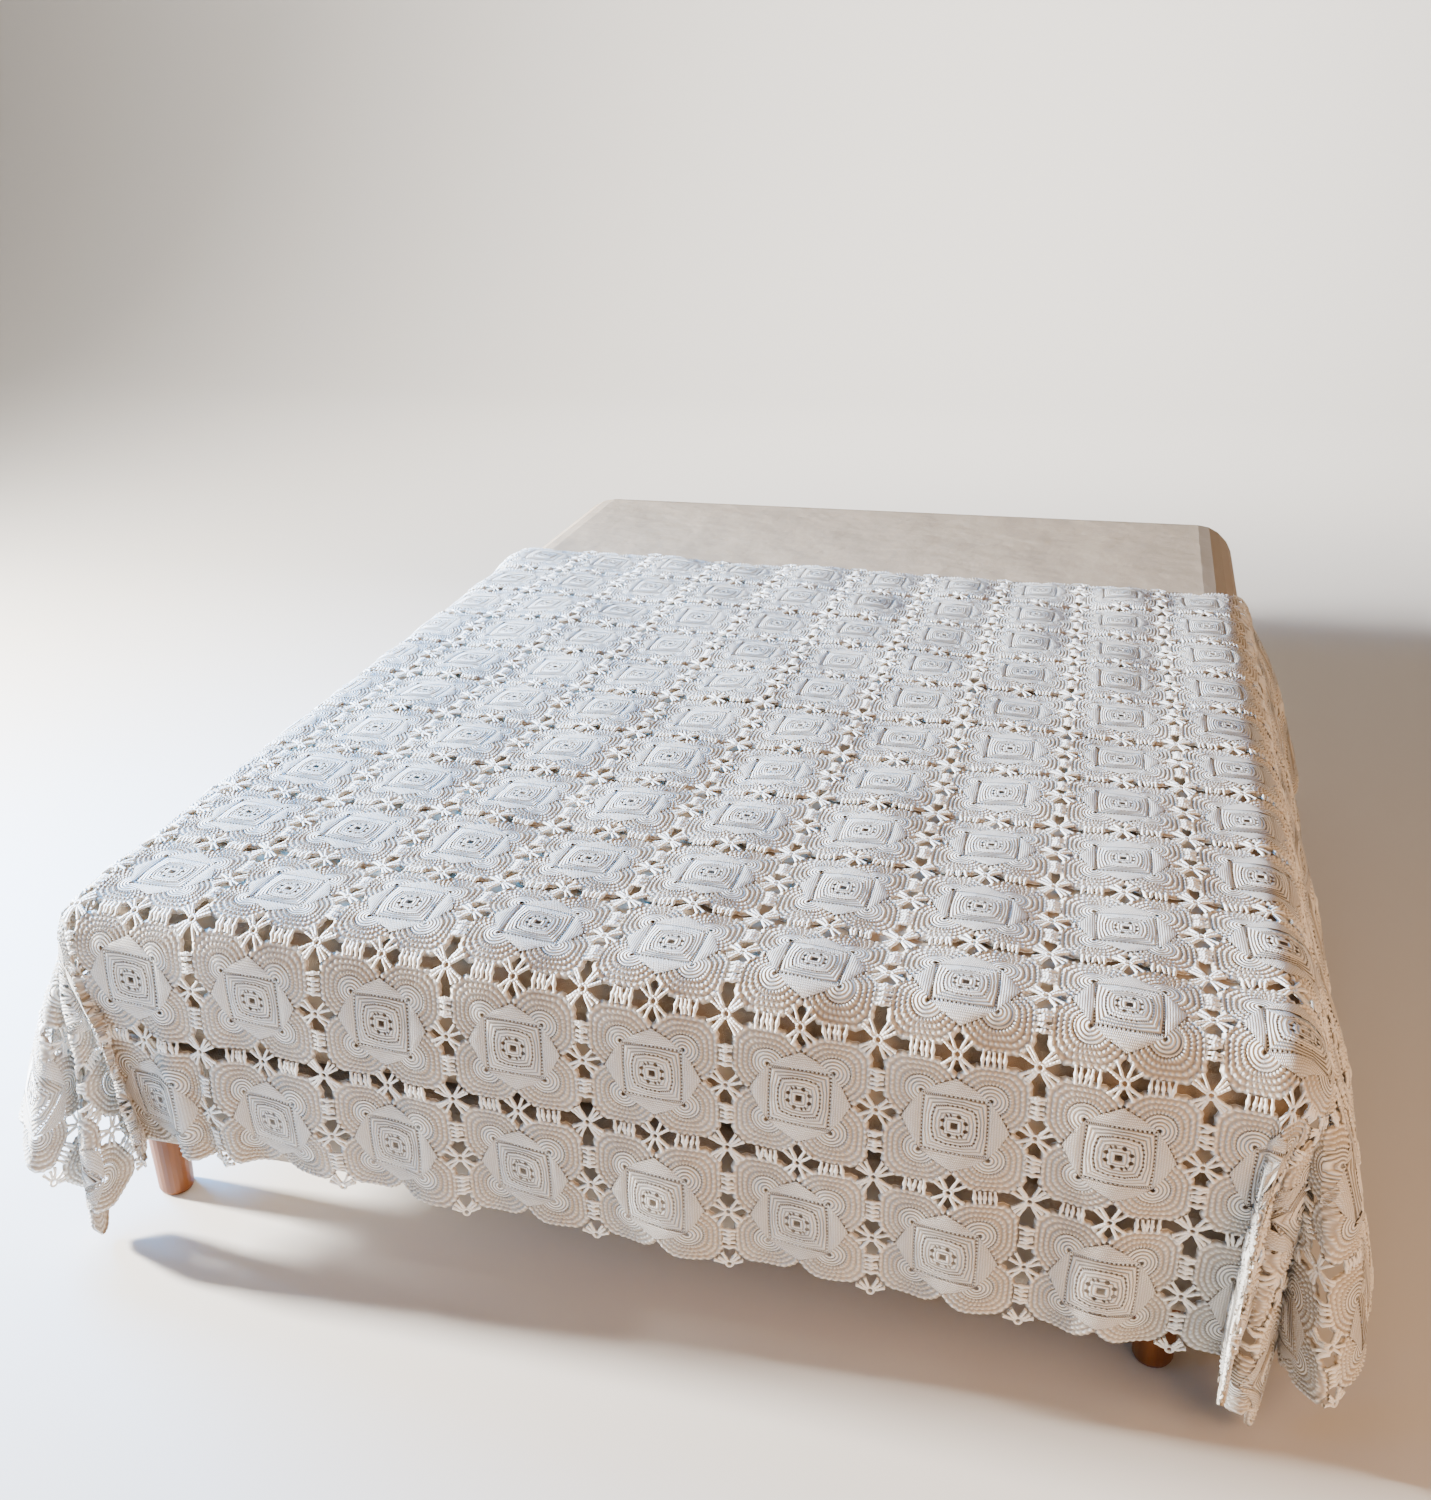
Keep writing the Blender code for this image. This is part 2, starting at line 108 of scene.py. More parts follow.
floor = new_piece("floor", floor_points, floor_faces, floor_points[:, :2], [floor_material])

world = bpy.data.worlds.new("room")
world.use_nodes = True
world.node_tree.nodes["Background"].inputs["Color"].default_value = (1.0, 0.84, 0.68, 1.0)
world.node_tree.nodes["Background"].inputs["Strength"].default_value = 0.12
bpy.context.scene.world = world


def add_light(name, place, aim, size, power, colour):
    """A soft square light at a place, turned so that it looks at its aim."""
    lamp = bpy.data.lights.new(name, "AREA")
    lamp.size = size
    lamp.energy = power
    lamp.color = colour
    item = bpy.data.objects.new(name, lamp)
    away = np.array(place, float) - np.array(aim, float)
    away /= np.linalg.norm(away)
    right = np.cross((0.0, 0.0, 1.0), away)
    right /= np.linalg.norm(right)
    up = np.cross(away, right)
    turn = Matrix(np.column_stack([right, up, away]).tolist()).to_4x4()
    item.matrix_world = Matrix.Translation(place) @ turn
    bpy.context.scene.collection.objects.link(item)


LIGHTS = (
    # name, place, aim, size, watts, colour
    ("daylight", (-4.0, -0.85, 1.4), (0.1, -0.3, 0.4), 0.4, 1600.0, (1.0, 0.97, 0.92)),
    ("sky", (-1.75, -0.35, 1.2), (-0.5, -0.45, 0.4), 0.6, 160.0, (0.06, 0.40, 1.0)),
    ("warm_fill", (2.3, -2.4, 1.5), (0.3, -0.8, 0.3), 1.8, 80.0, (1.0, 0.58, 0.30)),
    ("left_sky", (-1.9, -1.9, 0.9), (-0.75, -1.1, 0.25), 0.6, 15.0, (0.10, 0.48, 1.0)),
    ("backdrop", (0.0, 2.6, 4.2), (0.0, 8.5, 3.0), 3.6, 1000.0, (1.0, 0.98, 0.95)),
)
for light in LIGHTS:
    add_light(*light)

# The camera stands as the photo's own did, found from the corners of the motifs. Its place is given in
# motifs from the middle of the first whole motif on the bed.
MOTIF = 0.158
BED_LEFT, BED_RIGHT, BED_FOOT = -6.68, 2.18, -0.507
SIDE_GAP, CLOTH_REST = 0.006, 0.0016
low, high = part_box("mattress")
MIDDLE_X, MIDDLE_Y = (low[0] + high[0]) / 2, (low[1] + high[1]) / 2
CLOTH_TOP = float(high[2]) + CLOTH_REST
HALF_WIDTH, HALF_LENGTH = 0.700, 1.000
PHOTO_CAMERA = (0.72183236, -8.98667938, 5.5523544)
CAMERA_RIGHT = (0.96437489, 0.26338921, -0.02464143)
CAMERA_DOWN = (0.07907005, -0.3758858, -0.92328641)
CAMERA_AHEAD = (-0.25244604, 0.88844583, -0.38332102)
PHOTO_LENS, PHOTO_SHIFT = 37.61, (0.0163, -0.0167)
camera = bpy.data.objects.new("camera", bpy.data.cameras.new("camera"))
camera.data.sensor_width = 36.0
camera.data.lens = PHOTO_LENS
camera.data.shift_x, camera.data.shift_y = PHOTO_SHIFT
turn = np.column_stack([CAMERA_RIGHT, np.negative(CAMERA_DOWN), np.negative(CAMERA_AHEAD)])
place = (
    (PHOTO_CAMERA[0] - (BED_LEFT + BED_RIGHT) / 2) * MOTIF + MIDDLE_X,
    (PHOTO_CAMERA[1] - BED_FOOT) * MOTIF - HALF_LENGTH - SIDE_GAP + MIDDLE_Y,
    PHOTO_CAMERA[2] * MOTIF + CLOTH_TOP,
)
camera.matrix_world = Matrix.Translation(place) @ Matrix(turn.tolist()).to_4x4()
bpy.context.scene.collection.objects.link(camera)
bpy.context.scene.camera = camera


# How the cloth lies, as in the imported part: the lattice of motifs on the bed, the bend over the edges,
# the folds of each hanging side and the flutes round the two corners at the foot.
BEND = 0.047
FIRST_COLUMN, LAST_COLUMN = -8, 4
FIRST_ROW, LAST_ROW = -2, 9
SPREAD_CENTRE = -2.2
EVEN_FROM, EVEN_TO = -4.9, 4.5
TIGHTER_PER_ROW, DRIFT_PER_ROW = 0.0148, 0.0262
ROW_PITCH, SHORTER_PER_ROW = 1.012, 0.0074
ROW_SLANT, SLANT_TO = -0.0388, 4.0
SLID, SLIDE_FROM, SLIDE_WIDTH, SLIDE_ROWS = 0.06, -1.0, 3.5, 1.3
LEFT_STRETCH = 0.14
FOOT_FOLDS = (
    # along, half width, out
    (-6.02, 0.10, 0.02),
    (-5.78, 0.13, 0.17),
    (-5.40, 0.15, 0.13),
    (-4.62, 0.30, 0.07),
    (-3.70, 0.26, 0.10),
    (-2.85, 0.30, 0.06),
    (-1.85, 0.34, 0.12),
    (-0.80, 0.30, 0.07),
    (0.15, 0.32, 0.11),
    (1.05, 0.26, 0.12),
)
LEFT_FOLDS = (
    (-0.30, 0.70, 0.62),
    (0.85, 0.28, 0.12),
    (1.75, 0.36, 0.30),
    (3.10, 0.40, 0.20),
    (4.45, 0.38, 0.28),
    (5.80, 0.42, 0.18),
    (7.20, 0.40, 0.30),
    (8.60, 0.50, 0.34),
)
RIGHT_FOLDS = (
    (0.45, 0.50, 0.20),
    (1.60, 0.38, 0.26),
    (2.75, 0.36, 0.20),
    (4.05, 0.42, 0.27),
    (5.35, 0.38, 0.22),
    (6.70, 0.42, 0.26),
    (8.40, 0.60, 0.40),
)
FOOT_DEPTH = 1.30
FOLD_DROP, FOLD_GROWTH, FLARE_DROP = 2.2, 1.1, 0.9
FLARES = {"foot": 0.02, "left": 0.10, "right": 0.42}
DRAWN = {"left": -0.03, "right": 0.14}
LEFT_FLUTES = (
    # outward, forward
    (-0.22, 0.17),
    (-0.14, 0.00),
    (-0.05, 0.17),
    (0.02, 0.02),
    (0.12, 0.24),
    (0.15, 0.06),
)
RIGHT_FLUTES = (
    (-0.10, 0.31),
    (-0.11, 0.02),
    (-0.07, 0.10),
    (0.02, -0.14),
    (-0.01, 0.19),
    (0.02, 0.02),
)
FLUTE_START, FLUTE_FULL = 0.25, 1.10
JOIN_ANGLE = math.radians(26.0)
TOP_RISES = (
    # across, along, half width, half length, height in metres
    (-5.6, 1.2, 0.9, 0.8, 0.0035),
    (-3.6, 0.6, 1.0, 0.6, 0.0025),
    (-1.4, 1.6, 0.9, 0.9, 0.0030),
    (0.9, 2.6, 0.8, 1.1, 0.0030),
    (-4.4, 3.6, 1.2, 0.8, 0.0030),
    (-2.3, 4.7, 0.9, 0.7, 0.0035),
    (0.2, 5.6, 1.1, 0.8, 0.0025),
    (-5.2, 6.4, 0.8, 0.9, 0.0040),
    (-2.8, 7.6, 1.1, 0.6, 0.0035),
    (0.9, 8.1, 0.7, 0.35, 0.0060),
)
INNER_X = HALF_WIDTH + SIDE_GAP - BEND
INNER_FOOT = -HALF_LENGTH - SIDE_GAP + BEND


def along_x(column):
    """Metres across the bed from its middle: motifs from the bed's middle times a motif's size."""
    return (column - (BED_LEFT + BED_RIGHT) / 2) * MOTIF


def along_y(row):
    """Metres along the bed from its middle: motifs from the foot edge times a motif's size."""
    return -HALF_LENGTH - SIDE_GAP + (row - BED_FOOT) * MOTIF


def smooth(value):
    """Soft step: three times the square less twice the cube, held between 0 and 1."""
    value = np.clip(value, 0.0, 1.0)
    return value * value * (3 - 2 * value)


def spread(column, row):
    """Flat place of the lattice: columns draw together and drift towards the head, rows slant a little."""
    up = np.maximum(row, 0.0)
    from_centre = column - SPREAD_CENTRE
    even = np.clip(from_centre, EVEN_FROM, EVEN_TO)
    across = SPREAD_CENTRE + even * (1 - TIGHTER_PER_ROW * up) + (from_centre - even) + DRIFT_PER_ROW * up
    across += LEFT_STRETCH * np.minimum(from_centre - even, 0.0)
    across += SLID * smooth((column - SLIDE_FROM) / SLIDE_WIDTH) * np.exp(-(up / SLIDE_ROWS) ** 2)
    along = ROW_PITCH * row * (1 - SHORTER_PER_ROW * up) + ROW_SLANT * np.minimum(from_centre, SLANT_TO)
    return along_x(across), along_y(along)


def fold_profile(folds, to_metres):
    """Sum of bell curves along an edge, and the width that they take up: half the slope squared, summed."""
    places = np.linspace(-9.0, 11.0, 2401)
    out = sum(reach * np.exp(-((places - middle) / half) ** 2) for middle, half, reach in folds)
    slope = np.gradient(out, places)
    taken = np.concatenate([[0.0], np.cumsum((slope[1:] ** 2 + slope[:-1] ** 2) / 4 * np.diff(places))])
    taken -= np.interp(-1.0, places, taken)
    return to_metres(places), out * MOTIF, taken * MOTIF


PROFILES = {
    "foot": fold_profile([(a, h, FOOT_DEPTH * o) for a, h, o in FOOT_FOLDS], along_x),
    "left": fold_profile(LEFT_FOLDS, along_y),
    "right": fold_profile(RIGHT_FOLDS, along_y),
}


def hang_offset(side, place, down):
    """Outward and sideways shift of a hanging side: its folds grow as a power of the drop, and its flare
    comes to its full reach as one less a falling exponential."""
    places, out, taken = PROFILES[side]
    fall = np.clip(down - BEND, 0.0, None)
    growth = (fall / (FOLD_DROP * MOTIF)) ** FOLD_GROWTH
    flare = FLARES[side] * MOTIF * (1 - np.exp(-fall / (FLARE_DROP * MOTIF)))
    return np.interp(place, places, out) * growth + flare, -np.interp(place, places, taken) * growth ** 2


def flute_curve(flutes):
    """Directions of a corner's cone for each flat angle: a smooth curve through the table's leans, scaled
    until its length on the unit sphere is a quarter turn."""
    ridges = np.array([(0.0, 0.0), *flutes, (0.0, 0.0)])
    padded = np.vstack([2 * ridges[0] - ridges[1], ridges, 2 * ridges[-1] - ridges[-2]])
    share = np.linspace(0.0, 1.0, 24, endpoint=False)[:, None]
    runs = []
    for first in range(len(ridges) - 1):
        a, b, c, d = padded[first:first + 4]
        runs.append(0.5 * (2 * b + (c - a) * share + (2 * a - 5 * b + 4 * c - d) * share ** 2
                           + (3 * b - a - 3 * c + d) * share ** 3))
    lean = np.vstack([*runs, ridges[-1:]])
    scale = 1.0
    for _ in range(12):
        direction = np.c_[lean * scale, -np.ones(len(lean))]
        direction /= np.linalg.norm(direction, axis=1)[:, None]
        length = np.concatenate([[0.0], np.cumsum(np.linalg.norm(np.diff(direction, axis=0), axis=1))])
        scale *= (math.pi / 2) / length[-1]
    return length, lean * scale


CURVES = {"left": flute_curve(LEFT_FLUTES), "right": flute_curve(RIGHT_FLUTES)}


def bend_over(outward, hang, reach):
    """Path over a rounded edge: an arc of the bend's radius from outward to hang, then straight on."""
    cosine = np.sum(outward * hang, axis=1)
    angle = np.arccos(np.clip(cosine, -1.0, 1.0))
    across = (hang - cosine[:, None] * outward) / np.sin(angle)[:, None]
    turned = np.minimum(reach / BEND, angle)
    path = BEND * (np.sin(turned)[:, None] * outward + (1 - np.cos(turned))[:, None] * across)
    return path + np.clip(reach - BEND * angle, 0.0, None)[:, None] * hang


def drape(flat_x, flat_y):
    """Place in space of the flat cloth: flat on the bed, then bent and hung along its own direction, with
    each side's folds and each corner's flutes added."""
    held_x = np.clip(flat_x, -INNER_X, INNER_X)
    held_y = np.maximum(flat_y, INNER_FOOT)
    side = np.where(flat_x < 0, -1.0, 1.0)
    past_side = np.abs(flat_x - held_x)
    past_foot = held_y - flat_y
    reach = np.hypot(past_side, past_foot)
    angle = np.where(reach < 1e-9, 0.0, np.arctan2(past_side, past_foot))
    drawn = np.where(flat_x < 0, DRAWN["left"], DRAWN["right"])
    reach = reach * (1 - drawn * np.sin(2 * angle) ** 2)

    flute = np.zeros((len(flat_x), 2))
    for name, sign in (("left", -1.0), ("right", 1.0)):
        length, lean = CURVES[name]
        here = side == sign
        for axis in (0, 1):
            flute[here, axis] = np.interp(angle[here], length, lean[:, axis])
    flute *= smooth((reach / MOTIF - FLUTE_START) / (FLUTE_FULL - FLUTE_START))[:, None]
    flute *= ((past_side > 0) & (past_foot > 0))[:, None]

    outward = np.c_[side * np.sin(angle), -np.cos(angle), np.zeros(len(angle))]
    hang = np.c_[side * flute[:, 0], -flute[:, 1], -np.ones(len(angle))]
    hang /= np.linalg.norm(hang, axis=1)[:, None]
    place = np.c_[held_x, held_y, np.full(len(flat_x), CLOTH_TOP)] + bend_over(outward, hang, reach)

    down = np.clip(reach - BEND * (math.pi / 2 - 1), 0.0, None)
    foot_share = smooth(1 - angle / JOIN_ANGLE) * (past_foot > 0)
    side_share = smooth(1 - (math.pi / 2 - angle) / JOIN_ANGLE) * (past_side > 0)
    out, shift = hang_offset("foot", held_x, down)
    place[:, 1] -= out * foot_share
    place[:, 0] += shift * foot_share
    for name, sign in (("left", -1.0), ("right", 1.0)):
        out, shift = hang_offset(name, held_y, down)
        here = side_share * (side == sign)
        place[:, 0] += sign * out * here
        place[:, 1] += shift * here

    on_top = smooth(1 - reach / (0.5 * MOTIF))
    for across, along, half_width, half_length, height in TOP_RISES:
        u = (flat_x - along_x(across)) / (half_width * MOTIF)
        v = (flat_y - along_y(along)) / (half_length * MOTIF)
        place[:, 2] += height * np.exp(-u * u - v * v) * on_top
    return place


PUFF_HEIGHT, WAVE_HEIGHT = 0.0018, 0.0013
NORMAL_STEP = 0.0015


def lay(column, row, height):
    """Place in space of a point of the cloth, raised along the cloth's own normal. The normal is the cross
    product of two short steps on the flat cloth. Motifs puff up between their joints as cosines, and the
    whole is softly uneven as a sum of sines."""
    puff = 0.5 * (np.cos(2 * math.pi * column) + np.cos(2 * math.pi * row))
    waves = np.sin(3.1 * column + 1.9 * row) + np.sin(4.3 * row - 1.7 * column + 1.0)
    waves += np.sin(5.9 * column - 0.8 * row + 2.0) + np.sin(2.3 * column + 5.1 * row + 4.0)
    height = height + PUFF_HEIGHT * (puff + 1) + WAVE_HEIGHT * (waves + 2)
    x, y = spread(column, row)
    a = drape(x + NORMAL_STEP, y) - drape(x - NORMAL_STEP, y)
    b = drape(x, y + NORMAL_STEP) - drape(x, y - NORMAL_STEP)
    normal = np.cross(a, b)
    normal /= np.linalg.norm(normal, axis=1)[:, None]
    return drape(x, y) + normal * height[:, None] + (MIDDLE_X, MIDDLE_Y, 0.0)


# The crochet's own patterns, as node groups that give masks and heights: a row of small eyelets, smooth
# ribs, and rows of knobbly stitches. Sizes are in motifs.
def calc(tree, operation, *values):
    """A math node of a shader: its values are numbers or other sockets."""
    node = tree.nodes.new("ShaderNodeMath")
    node.operation = operation
    for index, value in enumerate(values):
        if isinstance(value, (int, float)):
            node.inputs[index].default_value = value
        else:
            tree.links.new(value, node.inputs[index])
    return node.outputs[0]


def new_group(name, inputs, outputs):
    """An empty node group with float inputs and outputs, and its two end nodes."""
    tree = bpy.data.node_groups.new(name, "ShaderNodeTree")
    for socket in inputs:
        tree.interface.new_socket(socket, in_out="INPUT", socket_type="NodeSocketFloat")
    for socket in outputs:
        tree.interface.new_socket(socket, in_out="OUTPUT", socket_type="NodeSocketFloat")
    return tree, tree.nodes.new("NodeGroupInput").outputs, tree.nodes.new("NodeGroupOutput").inputs


def use_group(tree, group, **values):
    """A node that uses a group, with its inputs set or linked."""
    node = tree.nodes.new("ShaderNodeGroup")
    node.node_tree = group
    for name, value in values.items():
        socket = node.inputs[name.replace("_", " ")]
        if isinstance(value, bpy.types.NodeSocket):
            tree.links.new(value, socket)
        else:
            socket.default_value = value
    return node.outputs


def make_eyelet_row():
    """Mask of round holes: one less the distance from the nearest of evenly spaced places, in radii, made
    a little soft at the rim."""
    tree, given, result = new_group("eyelet_row", ("Across", "Along", "Spacing", "Radius"), ("Mask",))
    steps = calc(tree, "DIVIDE", given["Along"], given["Spacing"])
    from_place = calc(tree, "SUBTRACT", calc(tree, "FRACT", steps), 0.5)
    along = calc(tree, "MULTIPLY", from_place, given["Spacing"])
    square = calc(tree, "ADD", calc(tree, "POWER", given["Across"], 2.0), calc(tree, "POWER", along, 2.0))
    share = calc(tree, "DIVIDE", calc(tree, "SQRT", square), given["Radius"])
    soft = calc(tree, "MULTIPLY", calc(tree, "SUBTRACT", 1.25, share), 2.0)
    node = tree.nodes.new("ShaderNodeClamp")
    tree.links.new(soft, node.inputs[0])
    tree.links.new(node.outputs[0], result["Mask"])
    return tree


def make_ribs():
    """Height of ribs: the square root of a raised cosine of the distance in pitches."""
    tree, given, result = new_group("smooth_ribs", ("Across", "Pitch"), ("Height",))
    turns = calc(tree, "MULTIPLY", calc(tree, "DIVIDE", given["Across"], given["Pitch"]), 2 * math.pi)
    wave = calc(tree, "ADD", calc(tree, "MULTIPLY", calc(tree, "COSINE", turns), 0.5), 0.5)
    tree.links.new(calc(tree, "POWER", wave, 0.5), result["Height"])
    return tree


def make_knobs():
    """Height of knobs: the square root of the product of two absolute sines, along the row and across it,
    with every second row moved by half a knob."""
    tree, given, result = new_group("knobbly_rows", ("Across", "Along", "Row", "Knob"), ("Height",))
    rows = calc(tree, "DIVIDE", given["Across"], given["Row"])
    odd = calc(tree, "MULTIPLY", calc(tree, "FLOOR", rows), 0.5)
    knobs = calc(tree, "ADD", calc(tree, "DIVIDE", given["Along"], given["Knob"]), odd)
    a = calc(tree, "ABSOLUTE", calc(tree, "SINE", calc(tree, "MULTIPLY", rows, math.pi)))
    b = calc(tree, "ABSOLUTE", calc(tree, "SINE", calc(tree, "MULTIPLY", knobs, math.pi)))
    tree.links.new(calc(tree, "SQRT", calc(tree, "MULTIPLY", a, b)), result["Height"])
    return tree


eyelet_row, smooth_ribs, knobbly_rows = make_eyelet_row(), make_ribs(), make_knobs()
# Painted shade: the crochet runs from the light cotton colour on the high parts of its relief to a dark
# brown painted shade in its troughs, and the gain sets how fast it rises with height.
COTTON_LIGHT = (0.90, 0.872, 0.815, 1.0)
TROUGH_SHADE_GAIN, BLOTCH_LIGHT = 1.25, 0.4
BLOTCH_SCALE, YARN_SCALE, YARN_RELIEF = 6.0, 900.0, 0.25
COTTON_TROUGH_SHADE = (0.38, 0.32, 0.25, 1.0)


def finish_cotton(tree, shader, height, hole, depth, pale=0.06):
    """Ends a crochet material. Its colour goes from a dark brown painted shade in the troughs to the light
    cotton colour as the height times a gain, plus its paleness and a faint large blotch. Where it has holes
    they are open, and the height less the holes, with the yarn's own fine twist, feeds one bump."""
    place = tree.nodes.new("ShaderNodeTexCoord").outputs["Object"]
    noise = [new_node(tree, "ShaderNodeTexNoise", Vector=place, Scale=scale, Detail=2.0)
             for scale in (BLOTCH_SCALE, YARN_SCALE)]
    blotch, yarn = [node.outputs["Fac"] for node in noise]
    # Painted shade: the share of the cotton's own colour rises with the height, so the troughs are painted
    # dark.
    light = calc(tree, "ADD", calc(tree, "MULTIPLY", height, TROUGH_SHADE_GAIN), pale)
    patch = calc(tree, "MULTIPLY", calc(tree, "SUBTRACT", blotch, 0.5), BLOTCH_LIGHT)
    light = calc(tree, "ADD", light, patch)
    ramp = new_node(tree, "ShaderNodeMix")
    ramp.data_type = "RGBA"
    ramp.clamp_factor = True
    ramp.inputs[6].default_value = COTTON_TROUGH_SHADE
    ramp.inputs[7].default_value = COTTON_LIGHT
    tree.links.new(light, ramp.inputs[0])
    tree.links.new(ramp.outputs[2], shader.inputs["Base Color"])
    relief = calc(tree, "ADD", height, calc(tree, "MULTIPLY", yarn, YARN_RELIEF))
    if hole:
        tree.links.new(calc(tree, "SUBTRACT", 1.0, hole), shader.inputs["Alpha"])
        relief = calc(tree, "SUBTRACT", relief, hole)
    bump = new_node(tree, "ShaderNodeBump", Strength=1.0, Distance=depth, Height=relief)
    tree.links.new(bump.outputs["Normal"], shader.inputs["Normal"])


# The motifs: each has a centre square worked in square rounds with rows of eyelets, four plain flaps on
# its sides, and four shell fans on its corners. Cotton yarn, worked in one with its neighbours.
RIB_PITCH, RIB_SHARE, FIRST_GROOVE, SQUARE_RELIEF = 0.0215, 0.7, 0.0105, 0.0026
SQUARE_EYELETS = (
    # round, spacing, radius
    (0.131, 0.0300, 0.0072),
    (0.201, 0.0268, 0.0072),
    (0.068, 0.0560, 0.0135),
)
square_cotton, tree, shader, across, along = new_material("square_cotton", 0.9)
from_groove = calc(tree, "SUBTRACT", across, FIRST_GROOVE)
ribs = use_group(tree, smooth_ribs, Across=from_groove, Pitch=RIB_PITCH)["Height"]
knots = use_group(tree, knobbly_rows, Across=across, Along=along, Row=RIB_PITCH, Knob=0.016)["Height"]
knots = calc(tree, "MULTIPLY", knots, 1 - RIB_SHARE)
height = calc(tree, "ADD", calc(tree, "MULTIPLY", ribs, RIB_SHARE), knots)
hole = None
for place, spacing, radius in SQUARE_EYELETS:
    mask = use_group(tree, eyelet_row, Across=calc(tree, "SUBTRACT", across, place), Along=along,
                     Spacing=spacing, Radius=radius)["Mask"]
    hole = calc(tree, "MAXIMUM", hole, mask) if hole else mask
finish_cotton(tree, shader, height, hole, SQUARE_RELIEF)

FLAP_KNOBS, FLAP_PLAIN, FLAP_RELIEF = 0.45, 0.22, 0.0024
flap_cotton, tree, shader, across, along = new_material("flap_cotton", 0.92)
height = use_group(tree, knobbly_rows, Across=across, Along=along, Row=0.016, Knob=0.012)["Height"]
height = calc(tree, "ADD", calc(tree, "MULTIPLY", height, FLAP_KNOBS), FLAP_PLAIN)
finish_cotton(tree, shader, height, None, FLAP_RELIEF)

FAN_RIB_PITCH, FAN_GROOVE, FAN_EYELETS, FAN_RELIEF = 0.0245, 0.024, 0.109, 0.0030
fan_cotton, tree, shader, across, along = new_material("fan_cotton", 0.9)
arc = calc(tree, "MULTIPLY", across, along)
from_groove = calc(tree, "SUBTRACT", across, FAN_GROOVE)
height = use_group(tree, smooth_ribs, Across=from_groove, Pitch=FAN_RIB_PITCH)["Height"]
hole = use_group(tree, eyelet_row, Across=calc(tree, "SUBTRACT", across, FAN_EYELETS), Along=arc,
                 Spacing=0.0215, Radius=0.0068)["Mask"]
finish_cotton(tree, shader, height, hole, FAN_RELIEF)

# The shell's map counts its rounds across and its places along. Its ridges are half waves, lower at every
# second place, and slits stand at both ends of the fan.
SHELL_ROUNDS, SHELL_STEPS = 8, 42
SHELL_RIDGE, SHELL_KNOB, SLITS_FROM_MIDDLE, SHELL_RELIEF = 0.66, 0.34, 20.2, 0.0026
shell_cotton, tree, shader, across, along = new_material("shell_cotton", 0.9)
wave = calc(tree, "COSINE", calc(tree, "MULTIPLY", across, math.pi))
ridge = calc(tree, "MULTIPLY", calc(tree, "SUBTRACT", 1.0, wave), 0.5)
row = calc(tree, "FLOOR", calc(tree, "MULTIPLY", across, 0.5))
knob = calc(tree, "COSINE", calc(tree, "MULTIPLY", calc(tree, "ADD", along, row), math.pi))
knob = calc(tree, "SUBTRACT", SHELL_RIDGE, calc(tree, "MULTIPLY", knob, SHELL_KNOB))
height = calc(tree, "MULTIPLY", ridge, knob)
from_middle = calc(tree, "ABSOLUTE", calc(tree, "SUBTRACT", along, SHELL_STEPS / 2))
edge = calc(tree, "SUBTRACT", SLITS_FROM_MIDDLE, from_middle)
slits = use_group(tree, eyelet_row, Across=calc(tree, "MULTIPLY", edge, 0.5), Along=across,
                  Spacing=1.35, Radius=0.36)["Mask"]
finish_cotton(tree, shader, height, slits, SHELL_RELIEF, pale=0.10)

SQUARE_ROUNDS = np.array([0.020, 0.034, 0.050, 0.066, 0.081, 0.094, 0.104, 0.115, 0.131, 0.145, 0.156, 0.167,
                          0.178, 0.189, 0.201, 0.214])
SQUARE_RIBS = np.array([-1, 1, 0, -1, 0, 1, -1, 1, -1.5, 1, -1, 1, -1, 1, -1.5, 0])
SQUARE_BOW = 0.075
FLAP_BASE, FLAP_TIP = 0.212, 0.336
FAN_CENTRE, FAN_START, FAN_TURN = 0.217, math.radians(-66.0), math.radians(222.0)
FAN_ROUNDS = np.array([0.012, 0.032, 0.052, 0.072, 0.094, 0.114])
FAN_STEPS = 16
SHELL_START, SHELL_SIDE, SHELL_CORNER, SHELL_INNER = 0.104, 0.240, 0.284, 0.256
MOTIF_LIFT = 0.0016
DOME_HEIGHT, RIB_HEIGHT, KNOB_HEIGHT = 0.0012, 0.00045, 0.0030


def grid_faces(rows, columns, closed=False):
    """Quads of a grid of points numbered row by row; a closed grid joins its last column to its first."""
    r, c = np.meshgrid(np.arange(rows - 1), np.arange(columns - (0 if closed else 1)), indexing="ij")
    r, c = r.ravel(), c.ravel()
    after = (c + 1) % columns
    return np.stack([r * columns + c, (r + 1) * columns + c, (r + 1) * columns + after,
                     r * columns + after], axis=1)


